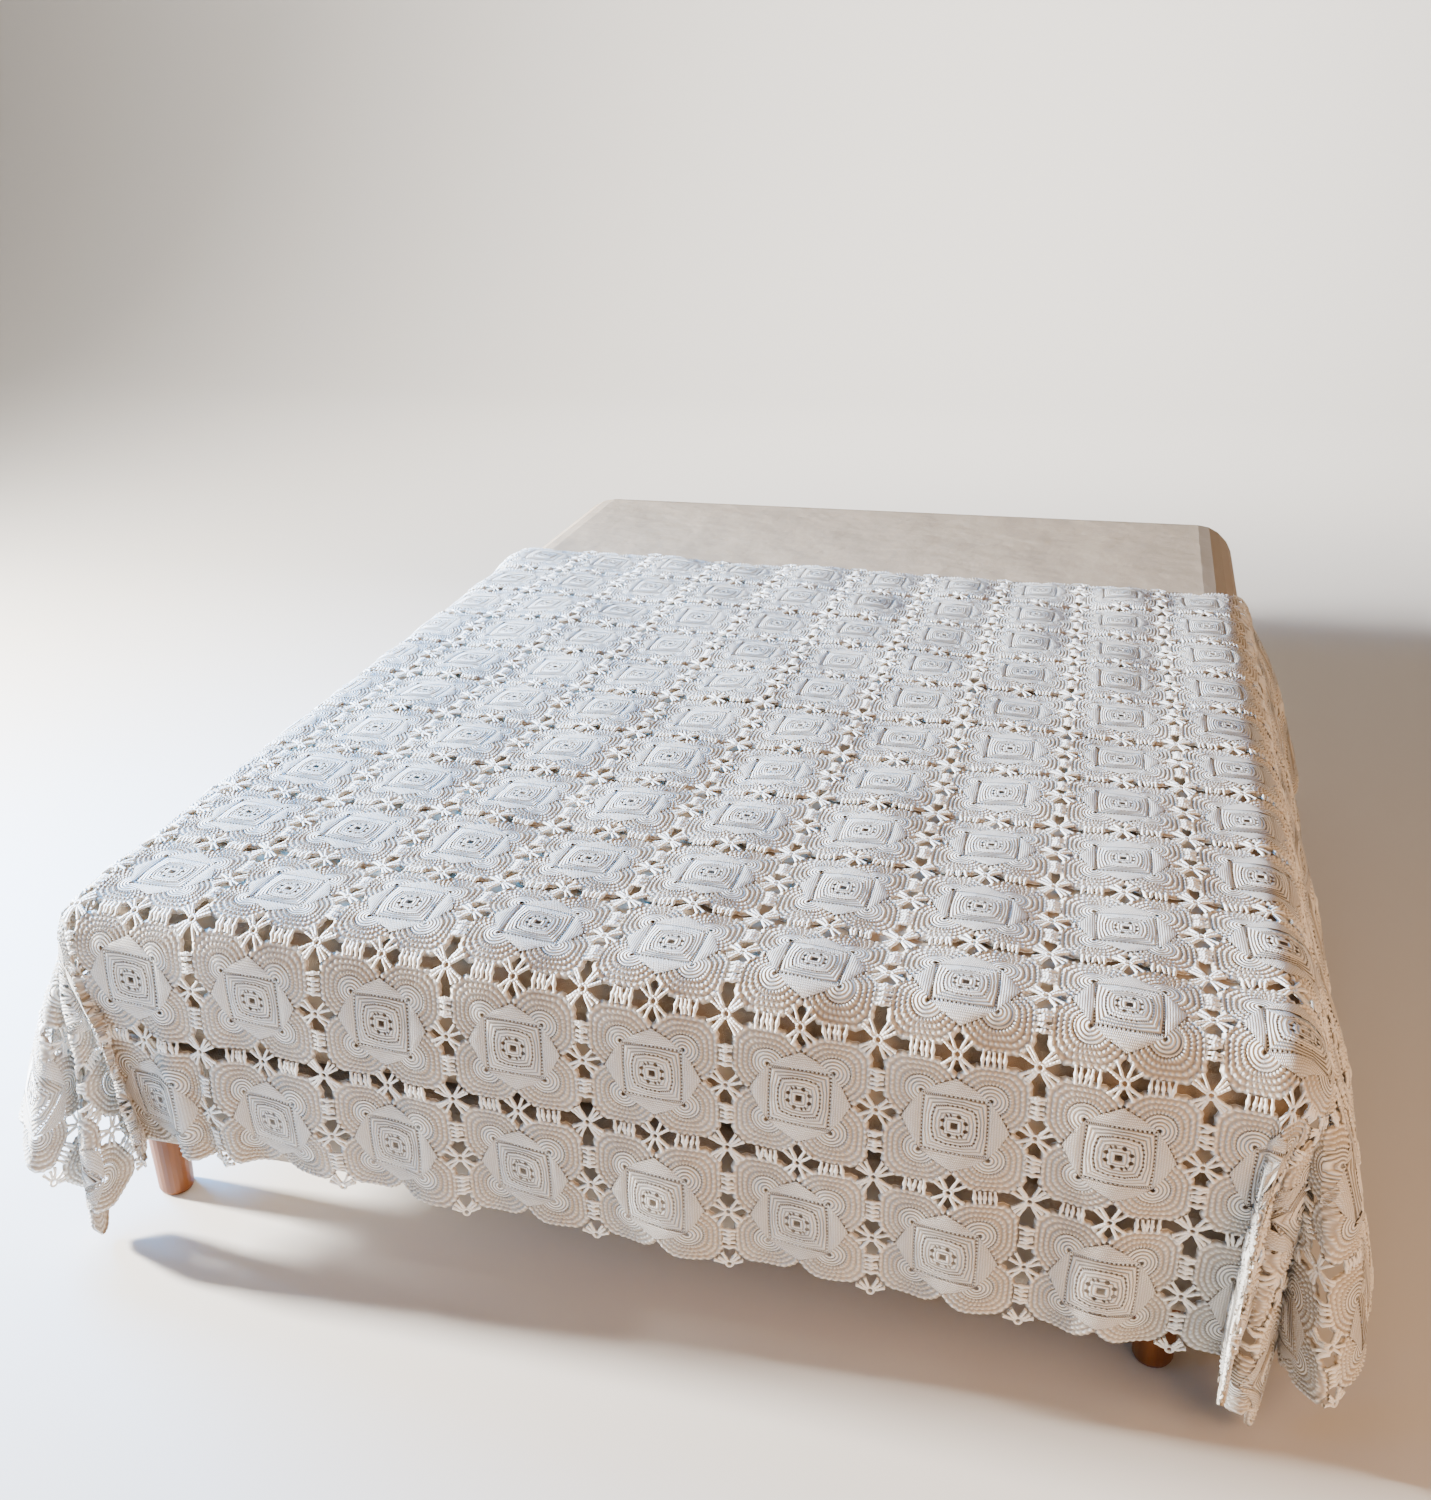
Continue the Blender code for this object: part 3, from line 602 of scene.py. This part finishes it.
def centre_square():
    """Rounds of a square: the round's half size times the outline of a unit square at twelve places, with
    each rib raised and each row of eyelets sunk. Between the first and the last round the corners draw in
    and the sides bow out, by half a sine wave of the size."""
    corner = np.array([(1, -1), (1, -1 / 3), (1, 1 / 3), (1, 1), (1 / 3, 1), (-1 / 3, 1), (-1, 1),
                       (-1, 1 / 3), (-1, -1 / 3), (-1, -1), (-1 / 3, -1), (1 / 3, -1)])
    bow = SQUARE_BOW * np.sin(math.pi * SQUARE_ROUNDS / SQUARE_ROUNDS[-1])
    round_off = 1 + bow[:, None] * np.where(np.abs(corner).min(axis=1) == 1, -1.0, 1.0)
    flat = (SQUARE_ROUNDS[:, None, None] * corner * round_off[:, :, None]).reshape(-1, 2)
    size = np.repeat(SQUARE_ROUNDS, len(corner))
    height = MOTIF_LIFT + DOME_HEIGHT * (1 - (size / SQUARE_ROUNDS[-1]) ** 2)
    height += RIB_HEIGHT * np.repeat(SQUARE_RIBS, len(corner))
    beside = np.where(np.abs(flat[:, 0]) >= np.abs(flat[:, 1]), flat[:, 1], flat[:, 0])
    chart = np.stack([size, beside], axis=1)
    return flat, height, chart, grid_faces(len(SQUARE_ROUNDS), len(corner), closed=True)


def side_flap():
    """A flap on the right side: from the square's side it rises to a blunt tip, as a power of the share
    of the side that is left, and it swells a little in its middle."""
    along = np.linspace(-1.0, 1.0, 9)
    share = np.linspace(0.0, 1.0, 4)
    tall = (FLAP_TIP - FLAP_BASE) * (1 - np.abs(along)) ** 0.8
    u = FLAP_BASE + share[:, None] * tall
    v = np.broadcast_to(along * FLAP_BASE, u.shape) * (1 - 0.02 * share[:, None])
    swell = np.sin(share * math.pi)[:, None] * (1 - along ** 2)
    height = MOTIF_LIFT + DOME_HEIGHT * swell + 0.0006 * share[:, None]
    flat = np.stack([u.ravel(), v.ravel()], axis=1)
    chart = np.stack([flat[:, 0] - FLAP_BASE, flat[:, 1]], axis=1)
    return flat, height.ravel(), chart, grid_faces(4, 9)


def corner_fan():
    """The smooth heart of a fan on the upper right corner: rounds about the corner's eyelet."""
    turn = np.linspace(0.0, FAN_TURN, FAN_STEPS + 1)
    size = FAN_ROUNDS[:, None] + np.zeros(FAN_STEPS + 1)
    height = MOTIF_LIFT + 0.0010 * (1 - (size / FAN_ROUNDS[-1]) ** 2) - 0.0004 * (size > 0.10)
    return fan_flat(size, turn), height.ravel(), fan_chart(size, turn), grid_faces(len(size), FAN_STEPS + 1)


def corner_shell():
    """The knobbly rounds of a fan: between its heart and a rim that is a square with rounded corners,
    every second round stands up, and on it every second place. The last round is turned down."""
    turn = np.linspace(0.0, FAN_TURN, SHELL_STEPS + 1)
    angle = turn + FAN_START
    side = SHELL_SIDE / np.maximum(np.abs(np.cos(angle)), np.abs(np.sin(angle)))
    toward = (angle > 0) & (angle < math.pi / 2)
    rim = np.minimum(side, np.where(toward, SHELL_CORNER, SHELL_INNER))
    share = np.linspace(0.0, 1.0, SHELL_ROUNDS + 1)[:, None]
    size = SHELL_START + (rim - SHELL_START) * share
    index = np.arange(SHELL_ROUNDS + 1)[:, None]
    knob = (index % 2) * (0.22 + 0.78 * ((index // 2 + np.arange(SHELL_STEPS + 1)) % 2))
    size[-1] += 0.010 * knob[-2]
    size = np.vstack([size, size[-1:] - 0.003])
    height = MOTIF_LIFT - 0.0006 * share + KNOB_HEIGHT * (knob - 0.4)
    height = np.vstack([height, height[-1:] - 0.0026])
    index = np.arange(SHELL_ROUNDS + 2)[:, None] + np.zeros(SHELL_STEPS + 1)
    chart = np.stack([index, np.arange(SHELL_STEPS + 1) + np.zeros(index.shape)], axis=-1).reshape(-1, 2)
    return fan_flat(size, turn), height.ravel(), chart, grid_faces(len(size), SHELL_STEPS + 1)


def fan_flat(size, turn):
    """Places of a fan: its centre plus each round's size along each turn."""
    turn = turn + FAN_START
    flat = np.stack([FAN_CENTRE + size * np.cos(turn), FAN_CENTRE + size * np.sin(turn)], axis=-1)
    return flat.reshape(-1, 2)


def fan_chart(size, turn):
    """A fan's own map: the distance from its centre and the turn from its first edge."""
    return np.stack([size, np.broadcast_to(turn, size.shape)], axis=-1).reshape(-1, 2)


def turned(flat, quarter):
    """Flat points turned about the motif's middle by quarters of a turn."""
    cosine, sine = (1, 0, -1, 0)[quarter], (0, 1, 0, -1)[quarter]
    u, v = flat[:, 0], flat[:, 1]
    return np.stack([u * cosine - v * sine, u * sine + v * cosine], axis=1)


rng = np.random.default_rng(7)
flats, heights, maps, faces, kinds = [], [], [], [], []
start = 0
for kind, quarters, (flat, height, chart, quads) in (
        (0, 1, centre_square()), (1, 4, side_flap()), (2, 4, corner_fan()), (3, 4, corner_shell())):
    for quarter in range(quarters):
        flats.append(turned(flat, quarter))
        heights.append(height)
        maps.append(chart)
        faces.append(quads + start)
        kinds.append(np.full(len(quads), kind))
        start += len(flat)
motif_flat, motif_height, motif_map = np.vstack(flats), np.concatenate(heights), np.vstack(maps)
motif_faces, motif_kinds = np.vstack(faces), np.concatenate(kinds)
HEM_SHARE = 0.90
TURN_CHANCE, SIZE_CHANCE, SHIFT_CHANCE, LIFT_CHANCE = 0.014, 0.008, 0.005, 0.0002


def motif_band(name, first, last):
    """The motifs of some columns as one piece: each a little turned, sized and shifted by chance, and
    drawn in on the cloth's own edges, where the hem's fans are smaller."""
    columns, rows = np.meshgrid(np.arange(first, last + 1), np.arange(FIRST_ROW, LAST_ROW + 1))
    columns, rows = columns.ravel(), rows.ravel()
    count = len(columns)
    turn = rng.normal(0.0, TURN_CHANCE, count)[:, None]
    size = 1 + rng.normal(0.0, SIZE_CHANCE, count)[:, None]
    u, v = motif_flat[:, 0] * size, motif_flat[:, 1] * size
    u, v = u * np.cos(turn) - v * np.sin(turn), u * np.sin(turn) + v * np.cos(turn)
    c, r = columns[:, None], rows[:, None]
    u = np.where(((c == FIRST_COLUMN) & (u < 0)) | ((c == LAST_COLUMN) & (u > 0)), u * HEM_SHARE, u)
    v = np.where(((r == FIRST_ROW) & (v < 0)) | ((r == LAST_ROW) & (v > 0)), v * HEM_SHARE, v)
    u += c + rng.normal(0.0, SHIFT_CHANCE, count)[:, None]
    v += r + rng.normal(0.0, SHIFT_CHANCE, count)[:, None]
    height = np.broadcast_to(motif_height, u.shape) + rng.normal(0.0, LIFT_CHANCE, count)[:, None]
    faces = (motif_faces[None] + (np.arange(count) * len(motif_flat))[:, None, None]).reshape(-1, 4)
    return new_piece(name, lay(u.ravel(), v.ravel(), height.ravel()), faces, np.tile(motif_map, (count, 1)),
                     [square_cotton, flap_cotton, fan_cotton, shell_cotton], np.tile(motif_kinds, count))


BANDS = ((-8, -6), (-5, -3), (-2, 0), (1, 2), (3, 4))
bands = [motif_band(f"bedspread_motifs_{i + 1}", first, last) for i, (first, last) in enumerate(BANDS)]


# The joining lace: at each corner and mid side of a motif a small ring with legs to the fans, and between
# them short picot bars from fan to fan. The same cotton yarn, worked with the motifs.
lace_cotton, tree, shader, across, along = new_material("lace_cotton", 0.85)
twist = calc(tree, "ADD", calc(tree, "MULTIPLY", along, 90.0), calc(tree, "MULTIPLY", across, 2.0))
wave = calc(tree, "SINE", calc(tree, "MULTIPLY", twist, math.pi))
wave = calc(tree, "ADD", calc(tree, "MULTIPLY", wave, 0.5), 0.5)
shader.inputs["Base Color"].default_value = COTTON_LIGHT
bump = new_node(tree, "ShaderNodeBump", Strength=0.6, Distance=0.0006, Height=wave)
tree.links.new(bump.outputs["Normal"], shader.inputs["Normal"])
LACE_LIFT, LEG_START_LIFT, RING_LIFT = 0.0014, 0.0018, 0.0020
LEG_RADII, LEG_BOW = (0.0017, 0.0021, 0.0018, 0.0025), 0.0007
RING_SIZE, RING_RADII = 0.026, (0.0017, 0.0017)
ANGLE_CHANCE, LENGTH_CHANCE = 0.05, 0.04


def yarn_tubes(starts, ends, rise, radii, sides=4):
    """Tubes of yarn in the flat cloth from start to end, both (n, 3) of column, row and height. Each bows
    up by a half sine, and its section is a small polygon of the given radii, spaced evenly along it."""
    radii = np.array(radii)
    share = np.linspace(0.0, 1.0, len(radii))
    run = ends - starts
    middle = starts[:, None, :] + share[:, None] * run[:, None, :]
    middle[:, :, 2] += rise * np.sin(share * math.pi)
    level = run[:, :2] / np.linalg.norm(run[:, :2], axis=1)[:, None]
    aside = np.stack([-level[:, 1], level[:, 0]], axis=1)
    turn = np.arange(sides) * 2 * math.pi / sides + math.pi / sides
    out = radii[:, None, None] / MOTIF * np.cos(turn)[:, None]
    flat = middle[:, :, None, :2] + out * aside[:, None, None, :]
    high = middle[:, :, None, 2] + radii[:, None] * np.sin(turn) + np.zeros(flat.shape[:3])
    points = np.concatenate([flat, high[..., None]], axis=-1).reshape(-1, 3)
    length = np.linalg.norm(run[:, :2], axis=1)[:, None, None] * share[:, None]
    chart = np.stack([np.broadcast_to(turn / (2 * math.pi), flat.shape[:3]).ravel(),
                      np.broadcast_to(length, flat.shape[:3]).ravel()], axis=1)
    quads = grid_faces(len(radii), sides, closed=True)[:, ::-1]
    size = len(radii) * sides
    faces = (quads[None] + (np.arange(len(starts)) * size)[:, None, None]).reshape(-1, 4)
    return points, chart, faces


def joined(parts):
    """One set of points, places and faces from several."""
    shift = np.cumsum([0] + [len(p[0]) for p in parts[:-1]])
    return (np.vstack([p[0] for p in parts]), np.vstack([p[1] for p in parts]),
            np.vstack([p[2] + s for p, s in zip(parts, shift)]))


def at_angle(middles, reach, angle, height):
    """Points about the middles at a reach and an angle, with their height."""
    step = reach[:, None] * np.column_stack([np.cos(angle), np.sin(angle)])
    return np.column_stack([middles + step, np.full(len(middles), height)])


def spider(middles, reach, headings, leans):
    """Ring and legs about each middle: for each heading, legs at some leans from it go from the ring to the
    fans' rims, a little uneven by chance. The ring is a polygon of eight short tubes."""
    parts = []
    n = len(middles)
    for heading in headings:
        for lean in leans:
            angle = heading + lean + rng.normal(0.0, ANGLE_CHANCE, n)
            far = heading + lean * 0.85 + rng.normal(0.0, ANGLE_CHANCE, n)
            length = reach * (1 + 0.12 * abs(lean)) * (1 + rng.normal(0.0, LENGTH_CHANCE, n))
            start = at_angle(middles, np.full(n, RING_SIZE), angle, LEG_START_LIFT)
            end = at_angle(middles, length, far, LACE_LIFT)
            parts.append(yarn_tubes(start, end, LEG_BOW, LEG_RADII))
    for step in range(8):
        a, b = np.full(n, step * math.pi / 4), np.full(n, (step + 1) * math.pi / 4)
        start = at_angle(middles, np.full(n, RING_SIZE), a, RING_LIFT)
        end = at_angle(middles, np.full(n, RING_SIZE), b, RING_LIFT)
        parts.append(yarn_tubes(start, end, 0.0, RING_RADII))
    return joined(parts)


def lattice(first_column, last_column, first_row, last_row):
    """Places of a lattice, whole steps from the first to the last column and row."""
    c, r = np.meshgrid(np.arange(first_column, last_column + 0.5), np.arange(first_row, last_row + 0.5))
    return np.column_stack([c.ravel(), r.ravel()])


def lace_piece(name, parts):
    """A piece of lace from tubes in the flat cloth, laid on the bed."""
    points, chart, faces = joined(parts)
    place = lay(points[:, 0], points[:, 1], points[:, 2])
    return new_piece(name, place, faces, chart, [lace_cotton])


def four_ways(angle):
    """The four headings that a leg's angle from the row makes with its mirror images."""
    return (angle, math.pi - angle, math.pi + angle, -angle)


corner_places = lattice(FIRST_COLUMN + 0.5, LAST_COLUMN - 0.5, FIRST_ROW + 0.5, LAST_ROW - 0.5)
upright_places = lattice(FIRST_COLUMN + 0.5, LAST_COLUMN - 0.5, FIRST_ROW, LAST_ROW)
level_places = lattice(FIRST_COLUMN, LAST_COLUMN, FIRST_ROW + 0.5, LAST_ROW - 0.5)
CORNER_REACH, SIDE_REACH = 0.128, 0.118
corner_lace = lace_piece("lace_corners", [
    spider(corner_places, CORNER_REACH, four_ways(math.pi / 4), (-0.32, 0.0, 0.32))])
side_lace = lace_piece("lace_sides", [
    spider(upright_places, SIDE_REACH, four_ways(math.radians(40)), (-0.28, 0.24)),
    spider(level_places, SIDE_REACH, four_ways(math.radians(50)), (-0.24, 0.28))])

# In each notch of the hem a half spider: its legs go to the two fans beside it.
HEM_NOTCH, HEM_REACH, HEM_LEANS = 0.445, 0.10, (-0.45, 0.0, 0.45)
END_ANGLE, SIDE_ANGLE = 0.70, 0.87
columns, rows = (FIRST_COLUMN + 0.5, LAST_COLUMN - 0.5), (FIRST_ROW + 0.5, LAST_ROW - 0.5)
NOTCHES = (
    # columns, rows, headings
    (columns, (FIRST_ROW - HEM_NOTCH,) * 2, (END_ANGLE, math.pi - END_ANGLE)),
    (columns, (LAST_ROW + HEM_NOTCH,) * 2, (-END_ANGLE, math.pi + END_ANGLE)),
    ((FIRST_COLUMN - HEM_NOTCH,) * 2, rows, (SIDE_ANGLE, -SIDE_ANGLE)),
    ((LAST_COLUMN + HEM_NOTCH,) * 2, rows, (math.pi - SIDE_ANGLE, math.pi + SIDE_ANGLE)),
)
hem_lace = lace_piece("lace_hem", [
    spider(lattice(*across, *along), HEM_REACH, headings, HEM_LEANS) for across, along, headings in NOTCHES])

# From fan to fan, on both sides of each mid side spider, five picot bars, the outer ones longer.
BAR_STEPS, BAR_MIDDLE = (-0.068, -0.034, 0.0, 0.034, 0.068), 0.222
BAR_ARM, BAR_SPLAY = 0.044, 2.2
STEP_CHANCE, SKEW_CHANCE = 0.004, 0.006
BAR_RADII, BAR_BOW = (0.0020, 0.0017, 0.0031, 0.0017, 0.0020), 0.0010
bars = []
for places, way in ((upright_places, 1), (level_places, 0)):
    for fan in (-BAR_MIDDLE, BAR_MIDDLE):
        for step in BAR_STEPS:
            middle = np.column_stack([places, np.full(len(places), LACE_LIFT)])
            middle[:, way] += fan + step + rng.normal(0.0, STEP_CHANCE, len(places))
            arm = np.zeros((len(places), 3))
            arm[:, 1 - way] = BAR_ARM + BAR_SPLAY * step * step
            arm[:, way] = rng.normal(0.0, SKEW_CHANCE, len(places))
            bars.append(yarn_tubes(middle - arm, middle + arm, BAR_BOW, BAR_RADII))
bar_lace = lace_piece("lace_bars", bars)

lace = [corner_lace, side_lace, bar_lace, hem_lace]
for item in [*bands, *lace]:
    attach(item, "root")
    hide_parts("bedspread")


# The bed: a mattress in a plain beige sheet with soft creases, an upholstered base, and four round legs
# of varnished wood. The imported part's own shapes stay and only take their materials.
def dress(node, material):
    """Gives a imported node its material."""
    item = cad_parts[node]
    item.data.materials.clear()
    item.data.materials.append(material)


CREASE_RELIEF, CREASE_SHADE = 12.0, 0.9


def cloth_material(name, colour, weave, crease):
    """Plain woven cloth: soft creases from noise and a fine weave, as products and sums of three sine waves,
    in one bump. The colour is painted a little darker in the creases, as painted shade."""
    material, tree, shader, _, _ = new_material(name, 0.92)
    place = tree.nodes.new("ShaderNodeTexCoord").outputs["Object"]
    parts = new_node(tree, "ShaderNodeSeparateXYZ", Vector=place).outputs
    threads = [calc(tree, "SINE", calc(tree, "MULTIPLY", part, weave)) for part in parts]
    cross = calc(tree, "MULTIPLY", calc(tree, "ADD", threads[0], threads[2]), threads[1])
    folds = new_node(tree, "ShaderNodeTexNoise", Vector=place, Scale=crease, Detail=4.0).outputs["Fac"]
    # Painted shade: the colour is mixed down by the crease shade where the noise of the creases is low.
    tone = new_node(tree, "ShaderNodeMix")
    tone.data_type = "RGBA"
    tone.inputs[6].default_value = (*[CREASE_SHADE * c for c in colour], 1.0)
    tone.inputs[7].default_value = (*colour, 1.0)
    tree.links.new(folds, tone.inputs[0])
    tree.links.new(tone.outputs[2], shader.inputs["Base Color"])
    threads = calc(tree, "MULTIPLY", cross, 0.12)
    relief = calc(tree, "ADD", calc(tree, "MULTIPLY", folds, CREASE_RELIEF), threads)
    bump = new_node(tree, "ShaderNodeBump", Strength=0.7, Distance=0.0012, Height=relief)
    tree.links.new(bump.outputs["Normal"], shader.inputs["Normal"])
    return material


# The sheet's colour is its own beige made darker, as painted shade in the gaps of the lace above it.
dress("mattress", cloth_material("beige_sheet_painted_shade", (0.46, 0.35, 0.24), weave=2600.0, crease=7.0))
dress("bed_base", cloth_material("base_linen", (0.46, 0.40, 0.33), weave=1700.0, crease=3.0))

WOOD_DARK, WOOD_LIGHT = (0.09, 0.022, 0.002, 1.0), (0.26, 0.082, 0.007, 1.0)
wood, tree, shader, _, _ = new_material("varnished_wood", 0.5)
place = tree.nodes.new("ShaderNodeTexCoord").outputs["Object"]
stretch = new_node(tree, "ShaderNodeMapping", Vector=place, Scale=(60.0, 60.0, 4.0)).outputs["Vector"]
grain = new_node(tree, "ShaderNodeTexNoise", Vector=stretch, Scale=1.6, Detail=5.0).outputs["Fac"]
ramp = new_node(tree, "ShaderNodeMix")
ramp.data_type = "RGBA"
ramp.inputs[6].default_value = WOOD_DARK
ramp.inputs[7].default_value = WOOD_LIGHT
tree.links.new(grain, ramp.inputs[0])
tree.links.new(ramp.outputs[2], shader.inputs["Base Color"])
shader.inputs["Coat Weight"].default_value = 0.1
for leg in ("leg_foot_left", "leg_foot_right", "leg_head_left", "leg_head_right"):
    dress(leg, wood)
